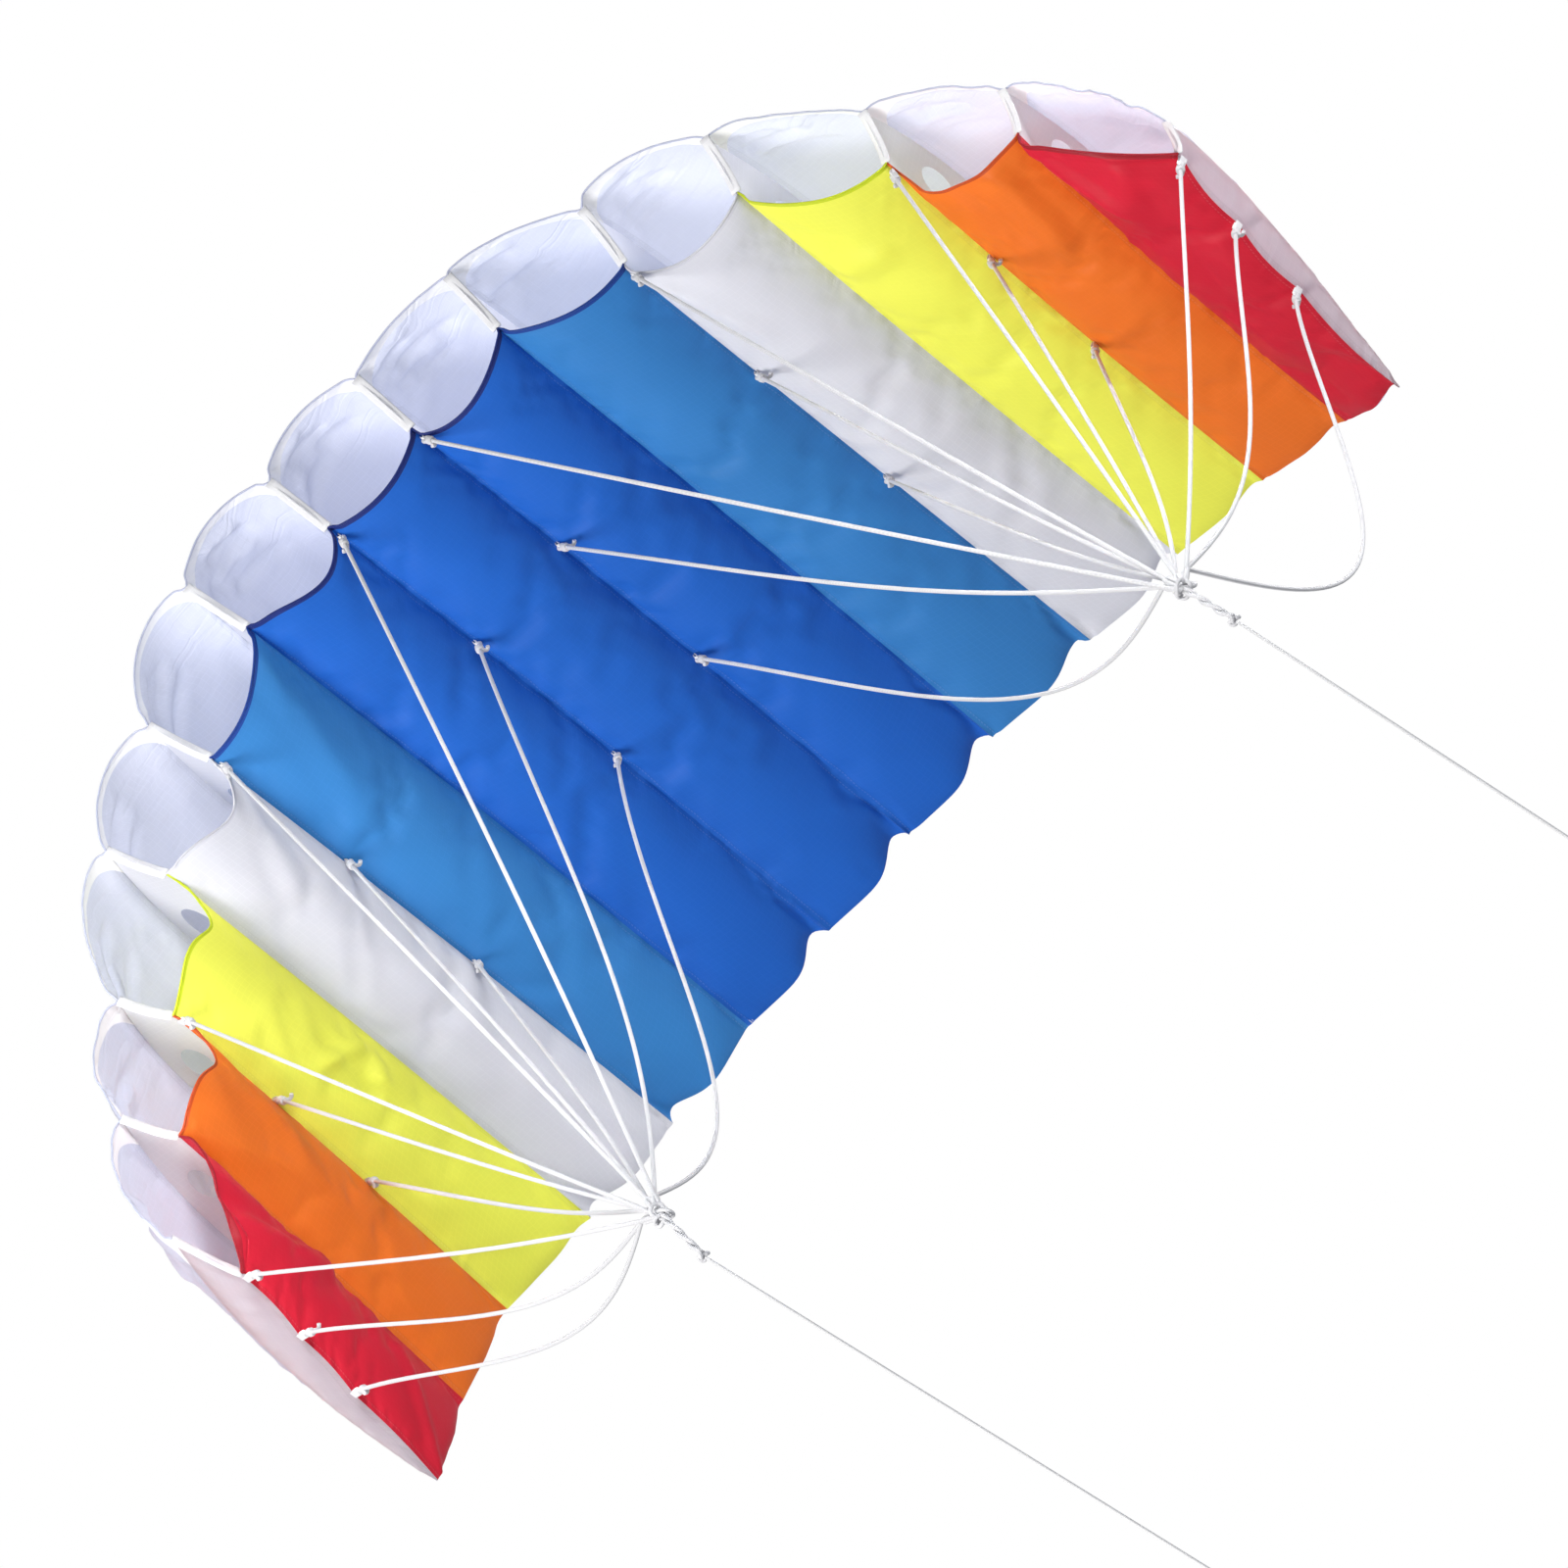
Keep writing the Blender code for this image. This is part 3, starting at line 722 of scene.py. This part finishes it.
def join(name, meshes, mats, weld=0.0):
    """One mesh out of several that share the same materials."""
    bm = bmesh.new()
    for mesh in meshes:
        bm.from_mesh(mesh)
        bpy.data.meshes.remove(mesh)
    if weld:
        bmesh.ops.remove_doubles(bm, verts=bm.verts, dist=weld)
    joined = bpy.data.meshes.new(name)
    bm.to_mesh(joined)
    bm.free()
    for mat in mats:
        joined.materials.append(mat)
    joined.shade_smooth()
    return joined


def rolled_edge(name, line, radius, slot):
    """A thin round roll of cloth along an edge."""
    sides = 6
    line = [Vector(p) for p in line]
    verts, faces = [], []
    for i, p in enumerate(line):
        ahead = (line[min(i + 1, len(line) - 1)] - line[max(i - 1, 0)]).normalized()
        side = ahead.cross(Vector((0, 0, 1))).normalized()
        lift = side.cross(ahead)
        for j in range(sides):
            a = 2 * math.pi * j / sides
            verts.append(p + side * (radius * math.cos(a)) + lift * (radius * math.sin(a)))
        if i:
            for j in range(sides):
                a, b = (i - 1) * sides + j, (i - 1) * sides + (j + 1) % sides
                faces.append((a, b, b + sides, a + sides))
    faces += [tuple(range(sides))[::-1], tuple(range(len(verts) - sides, len(verts)))]
    mesh = bpy.data.meshes.new(name)
    mesh.from_pydata([tuple(v) for v in verts], [], faces)
    for layer in ("cloth", "edge"):
        mesh.uv_layers.new(name=layer)
    mesh.polygons.foreach_set("material_index", [slot] * len(faces))
    return mesh


def build_canopy(mats):
    grid = cut_cloth()
    grid = blow_up(grid)
    grid = finer(grid, 2)
    mid = LOWER_ROWS * 2       # the row at the trailing edge
    for cell in range(CELLS):
        make_lower_panel(cell, grid[cell, :mid + 1].copy(), mats)
    for word, first, last in (("left", 0, 4), ("centre", 4, 9), ("right", 9, 13)):
        make_top_skin(word, grid[first:last, mid:].copy(), first, mats)
    for index in range(LAST_RIB + 1):
        if index in (0, LAST_RIB):
            make_side_panel(index, mats)
        else:
            make_rib(index, mats)


def make_lower_panel(cell, sheet, mats):
    colour = cell_colour(cell)
    rows, cols = sheet.shape[:2]
    chord = (RIBS[cell][2] + RIBS[cell + 1][2]) / 2
    across, along = distances(sheet)
    seam = np.minimum(across, across[:, -1:] - across)
    fade = np.minimum(1, seam / PANEL_SEAM_FADE) * np.minimum(1, along[-1] / chord)
    lift = np.zeros((rows, cols))
    for where, s0, v0, s1, v1, height, width in CREASES:
        if where == cell:
            lift -= crease_height(across, along, s0 * CELL, v0 * chord, s1 * CELL, v1 * chord,
                                  height, width)
    soft = crumple(across, along, cell, 22) * (0.00015 + 0.0009 * tip_share(cell))
    lift = (lift - soft) * fade
    sheet += surface_normals(sheet) * -lift[..., None]
    name = f"panel_{cell + 1:02d}"
    pair = [mats[colour], mats["hem_" + colour]]
    parts = [cloth_mesh("cloth_part", sheet, pair, True, HEM_ROWS),
             rolled_edge("hem_part", sheet[0], PANEL_ROLL_R, SECOND_SLOT)]
    obj = add_object(name, join(name, parts, pair), "canopy")
    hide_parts(f"lower_{name}")


def nose_creases(cell, across, near):
    """Crisp short creases across each cell a little behind its nose, most of them on its left."""
    total = np.zeros_like(across)
    for i in range(6):
        a = (math.sin(12.9898 * (cell * 7 + i + 1)) * 43758.5453) % 1.0
        b = (math.sin(78.233 * (cell * 7 + i + 1)) * 24634.6345) % 1.0
        start = (0.06 + 0.34 * a) * CELL
        back = 0.012 + 0.050 * (i + b) / 6
        reach = (0.24 + 0.26 * b) * CELL
        ridge = crease_height(across, near, start, back, start + reach, back + 0.014 * (a - 0.30),
                              0.0030 + 0.0022 * a, 0.0050 + 0.004 * b)
        total += ridge if i % 3 else -ridge
    return total


def make_top_skin(word, sheets, first, mats):
    parts = []
    for k, sheet in enumerate(sheets):
        cell = first + k
        across, along = distances(sheet)
        seam = np.minimum(across, across[:, -1:] - across)
        near = along[-1] - along
        lift = nose_creases(cell, across, near)
        loose = 0.0003 + 0.0030 * tip_share(cell) * np.exp(-near / 0.12)
        lift += crumple(across, along, cell + 20, 24) * loose
        lift *= np.minimum(1, seam / TOP_SEAM_FADE)
        sheet += surface_normals(sheet) * lift[..., None]
        parts.append(cloth_mesh("cloth_part", sheet, [mats["top"]], False))
        parts.append(rolled_edge("hem_part", sheet[-1], TOP_ROLL_R, 0))
    name = f"top_cloth_{word}"
    obj = add_object(name, join(name, parts, [mats["top"]], 0.00005), "canopy")
    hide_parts(f"top_skin_{word}")


def strip(name, path, half_width, half_thick, wide, slot):
    """A flat tape along a path; wide gives the tape's width direction at each point."""
    verts, faces = [], []
    for i, p in enumerate(path):
        ahead = (path[min(i + 1, len(path) - 1)] - path[max(i - 1, 0)]).normalized()
        side = wide(i).normalized()
        face = side.cross(ahead).normalized()
        for a, b in ((-1, -0.4), (-0.8, -1), (0.8, -1), (1, -0.4), (1, 0.4), (0.8, 1), (-0.8, 1), (-1, 0.4)):
            verts.append(p + side * (half_width * a) + face * (half_thick * b))
        if i:
            for j in range(8):
                a, b = (i - 1) * 8 + j, (i - 1) * 8 + (j + 1) % 8
                faces.append((a, b, b + 8, a + 8))
    faces += [tuple(range(8))[::-1], tuple(range(len(verts) - 8, len(verts)))]
    mesh = bpy.data.meshes.new(name)
    mesh.from_pydata([tuple(v) for v in verts], [], faces)
    cloth = mesh.uv_layers.new(name="cloth")
    mesh.uv_layers.new(name="edge")
    for loop in mesh.loops:
        ring, corner = divmod(loop.vertex_index, 8)
        cloth.data[loop.index].uv = (half_width * math.cos(math.pi * corner / 8), ring * 0.001)
    mesh.polygons.foreach_set("material_index", [slot] * len(faces))
    return mesh


def tab_mesh(index, place):
    """The loop of tape at one line tab, hanging from the rib seam."""
    up, across = RIBS[index][1], rib_across(index)
    base = foot_point(index, place)
    path = []
    for i in range(15):
        turn = math.pi * (i / 14)
        path.append(base + across * (0.0016 * math.cos(turn)) * (0.4 + math.sin(turn) * 0.8)
                    + up * (0.001 - (TAB_DROP + 0.0024) * math.sin(turn) ** 0.7))
    return strip("tab_part", path, *TAB_TAPE, lambda i: Vector((0, 1, 0)), SECOND_SLOT)


def rib_binding(index):
    """The doubled front edge of a rib, from its foot up to the nose."""
    across = rib_across(index)
    low, high = foot_point(index, 0), top_point(index, 0)
    bow = Vector((0, 0.004, 0))
    path = [low.lerp(high, i / 12) + bow * math.sin(math.pi * i / 12) for i in range(13)]
    return strip("binding_part", path, *BINDING_TAPE, lambda i: across, SECOND_SLOT)


def make_rib(index, mats):
    """A flat rib with its vents cut out."""
    foot, up, chord, thick = RIBS[index]
    steps = [i / 48 for i in range(49)]
    low = [foot_point(index, v) for v in steps]
    high = [top_point(index, q) for q in steps[::-1]]
    loops = [low + high]
    if out_of_centre(index) < 6:
        for place, half_long, half_high in VENTS:
            height = top_height((place + NOSE_AHEAD) / (1 + NOSE_AHEAD), chord, thick) * VENT_HEIGHT
            ring = []
            for i in range(32):
                a = 2 * math.pi * i / 32
                v = place + half_long * math.cos(a)
                ring.append(foot_point(index, v) + up * (height + chord * thick * half_high * math.sin(a)))
            loops.append(ring)
    bm = bmesh.new()
    edges = []
    for loop in loops:
        verts = [bm.verts.new(p) for p in loop]
        edges += [bm.edges.new((verts[i - 1], verts[i])) for i in range(len(verts))]
    bmesh.ops.triangle_fill(bm, use_beauty=True, edges=edges)
    cloth = bpy.data.meshes.new("rib_part")
    bm.to_mesh(cloth)
    bm.free()
    layer, edge = cloth.uv_layers.new(name="cloth"), cloth.uv_layers.new(name="edge")
    for loop in cloth.loops:
        p = cloth.vertices[loop.vertex_index].co - foot
        layer.data[loop.index].uv = (p.dot(up), p.y)
        edge.data[loop.index].uv = (0.05, 0.05)
    finish_rib(index, [cloth, rib_binding(index)], mats)


def make_side_panel(index, mats):
    """The closed panel on each tip, blown outward and wrinkled."""
    side = 1 if index > 6 else -1
    out = rib_across(index) * side
    rows, cols = 96, 17
    sheet = np.zeros((rows, cols, 3))
    for r in range(rows):
        v = r / (rows - 1)
        low, high = foot_point(index, v), top_point(index, v)
        for c in range(cols):
            t = c / (cols - 1)
            belly = SIDE_BELLY * math.sin(math.pi * t ** 1.5) * math.sin(math.pi * min(1, v * 1.02)) ** 0.5
            ripple = noise.noise(Vector((v * 26, t * 2.2, 4.0 + index)))
            belly += SIDE_RIPPLE * ripple * math.sin(math.pi * t)
            sheet[r, c] = low.lerp(high, t) + out * belly
    mesh = cloth_mesh("side_part", sheet, [mats["side"]], True)
    finish_rib(index, [mesh, rib_binding(index)], mats, "side")


def finish_rib(index, parts, mats, cloth="rib"):
    if out_of_centre(index) in BRIDLED:
        parts += [tab_mesh(index, place) for place in ROWS.values()]
    name = f"rib_cloth_{index + 1:02d}"
    obj = add_object(name, join(name, parts, [mats[cloth], mats["tape"]]), "canopy")
    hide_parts(f"rib_{index + 1:02d}")


# ---- bridle and lines
def tow_knot(side):
    """The middle of the knot that gathers one side's twelve lines."""
    return Vector((side * TOW_X, 0, -TOW_DROP))


def knot_path(centre, size, turn, steps):
    """A trefoil of cord, which looks like a tight overhand knot."""
    path = []
    for i in range(steps + 1):
        t = 2 * math.pi * i / steps
        p = Vector((math.sin(t) + 2 * math.sin(2 * t), math.cos(t) - 2 * math.cos(2 * t),
                    -1.2 * math.sin(3 * t)))
        path.append(centre + turn @ (p * size))
    return path


def coil_path(start, ahead, length, radius, turns):
    """A helix of cord round a straight axis."""
    steps = 40
    side = ahead.orthogonal().normalized()
    lift = ahead.cross(side)
    path = []
    for i in range(steps + 1):
        a = 2 * math.pi * turns * i / steps
        r = radius * (0.75 + 0.25 * math.sin(math.pi * i / steps))
        path.append(start + ahead * (length * i / steps)
                    + side * (r * math.cos(a)) + lift * (r * math.sin(a)))
    return path


def gather_point(side, column):
    """Where the three lines of one rib meet, shortly above the tow knot."""
    knot = tow_knot(side)
    aim = (foot_point(bridled_rib(side, column), ROWS_MIDDLE) - knot).normalized()
    return knot + aim * (GATHER_ABOVE + GATHER_STAGGER * (column % 2))


def bridle_splines(side, column, letter):
    """One line from its tab to the tow knot, its ring through the tab, the whipping and the loose end."""
    index = bridled_rib(side, column)
    up, across = RIBS[index][1], rib_across(index)
    row = "abc".index(letter)
    tab = foot_point(index, ROWS[letter]) - up * (TAB_DROP + 0.0008)
    knot, meet = tow_knot(side), gather_point(side, column)
    slack, lean = SLACK[letter][column], 1.3
    if (letter, column) == ("c", 3):
        slack += TIP_LINE_SLACK[side]
    if column == 0:
        slack, lean = FIRST_LINE_SLACK[(side, letter)]
    steps = 48
    path = []
    for i in range(steps + 1):
        t = i / steps
        blown = slack * math.sin(math.pi * t ** lean)
        path.append(tab.lerp(meet, t) + Vector((0, blown, -0.15 * blown)))
    ahead = (path[2] - path[0]).normalized()
    inward = (knot - meet).normalized()
    beside = inward.orthogonal().normalized() * 0.0016
    turn = Matrix.Rotation(2 * math.pi * row / 3, 3, inward)
    path += [meet + turn @ beside + inward * 0.004, knot + turn @ beside - inward * 0.003]
    ring = []
    for i in range(25):
        a = 2 * math.pi * i / 24
        ring.append(tab + ahead * (0.0016 - 0.0026 * math.cos(a)) + across * (0.0020 * math.sin(a)))
    coil = coil_path(tab + ahead * 0.0035, ahead, 0.0065, 0.0019, 2.6)
    out = (ahead.cross(Vector((0, 1, 0))) * (1 if row % 2 else -1) + ahead * 0.5).normalized()
    curl = Vector((0, 0.002, 0))
    tag = [coil[-1] + out * (0.006 * i / 8) + curl * math.sin(math.pi * i / 8) for i in range(9)]
    return path, ring, coil, tag


def build_bridle(mats):
    for side, word in ((-1, "left"), (1, "right")):
        for column in range(4):
            for letter in "abc":
                obj = tube_curve(f"bridle_cord_{word}_{letter}{column + 1}",
                                 bridle_splines(side, column, letter), LINE_D, mats["bridle"], "canopy")
                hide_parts(f"bridle_{word}_{letter}{column + 1}")


def build_tow_loops(mats):
    """The knot that holds the twelve lines, and its doubled tail down to the flying line."""
    for side, word in ((-1, "left"), (1, "right")):
        knot = tow_knot(side)
        low = knot - Vector((0, 0, STEM_LENGTH))
        tilt = Matrix.Rotation(0.4, 3, "Y") @ Matrix.Rotation(side * 0.5, 3, "X")
        cross = Matrix.Rotation(1.5, 3, "X") @ Matrix.Rotation(0.7, 3, "Z")
        outer, inner, small = TOW_KNOTS
        paths = [knot_path(knot, outer, tilt, 60), knot_path(knot, inner, cross, 60),
                 knot_path(low, small, Matrix.Rotation(0.5, 3, "X"), 40)]
        for a in (-1, 1):
            strand = []
            for i in range(33):
                t = i / 32
                twist = a * math.pi / 2 + 3.4 * math.pi * t
                swell = 0.0013 + 0.0006 * math.exp(-((t - 0.9) / 0.08) ** 2)
                strand.append(knot.lerp(low, t) + Vector((math.cos(twist), math.sin(twist), 0)) * swell)
            paths.append(strand)
        obj = tube_curve(f"tow_cord_{word}", paths, TOW_CORD_D, mats["bridle"], f"tow_{word}")
        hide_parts(f"tow_loop_{word}")


def line_place(side, distance):
    """A point on a flying line, this far from its hinge at the tow loop's end."""
    lean = LEFT_LEAN if side < 0 else RIGHT_LEAN
    hinge = tow_knot(side) - Vector((0, 0, STEM_LENGTH))
    return hinge + Vector((math.sin(lean), 0, -math.cos(lean))) * distance


def build_end_loop(side, word, mats):
    """The stitched loop of tape at the pilot's end of a line."""
    top = line_place(side, END_KNOT_R + 0.0008 + FLYING_LENGTH + LOOP_KNOT_R)
    w, low = LOOP_HALF_WIDTH - 0.0011, -LOOP_LENGTH + 0.0011
    route = [Vector((0.0008, 0, -0.002)), Vector((0.0012, 0, -0.012)), Vector((0.004, 0, -0.020)),
             Vector((w - 0.001, 0, -0.036)), Vector((w, 0, -0.048)), Vector((w - 0.002, 0, low + 0.004)),
             Vector((w - 0.006, 0, low + 0.0006)), Vector((0, 0, low))]
    half = smooth_path(route, 6)
    path = [top + p for p in half] + [top + Vector((-p.x, 0, p.z)) for p in half[-2::-1]]
    parts = [strip("tape_part", path, *LOOP_TAPE, lambda i: Vector((0, 1, 0)), 0)]
    collar = [top + Vector((0, 0, -0.0035 - 0.0075 * i / 6)) for i in range(7)]
    parts.append(strip("collar_part", collar, *LOOP_COLLAR, lambda i: Vector((0, 1, 0)), 0))
    name = f"end_tape_{word}"
    obj = add_object(name, join(name, parts, [mats["loop"]]), f"end_{word}")
    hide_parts(f"end_loop_{word}")
    return obj


def build_lines(mats):
    start = END_KNOT_R + 0.0004
    length = FLYING_LENGTH + LINE_TUCK
    for side, word in ((-1, "left"), (1, "right")):
        path = [line_place(side, start + length * i / 60) for i in range(61)]
        line = tube_curve(f"flying_cord_{word}", [path], FLYING_D, mats["line"], f"line_{word}")
        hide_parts(f"flying_line_{word}")
        loop = build_end_loop(side, word, mats)


# ---- all of it
def main():
    set_camera()
    mats = {name: cloth_material(name, colour, 0.30) for name, colour in COLOURS.items()}
    # the hems' darker colours are partly painted shade, for the lesser light through two layers
    mats.update({"hem_" + name: cloth_material("hem_" + name, colour, 0.10)
                 for name, colour in HEM_SHADED_COLOURS.items()})
    # the top skin is white cloth, painted a lavender grey: painted shade of the cells' insides with a
    # painted blue tint of the sky through it; its doubled nose hem keeps a lighter white
    mats["top"] = cloth_material("top", (0.70, 0.725, 0.86), 0.42, hem=(0.90, 0.90, 0.92))
    mats["rib"] = cloth_material("rib", (0.90, 0.90, 0.94), 0.50)
    # the tip panels are white cloth, painted a pinkish grey: painted shade with a painted tint of the red
    # panels' light
    mats["side"] = cloth_material("side", (0.80, 0.76, 0.80), 0.65)
    mats["tape"] = cloth_material("tape", (0.86, 0.86, 0.88), 0.10, grid=TAPE_GRID)
    mats["loop"] = cloth_material("loop", (0.62, 0.62, 0.64), 0.10, grid=TAPE_GRID)
    mats["bridle"] = cord_material("bridle", (0.60, 0.60, 0.62), 0.004)
    mats["line"] = cord_material("line", (0.62, 0.62, 0.63), 0.003)
    build_bridle(mats)
    build_tow_loops(mats)
    build_lines(mats)
    build_canopy(mats)
    set_light()
    make_floor()


main()
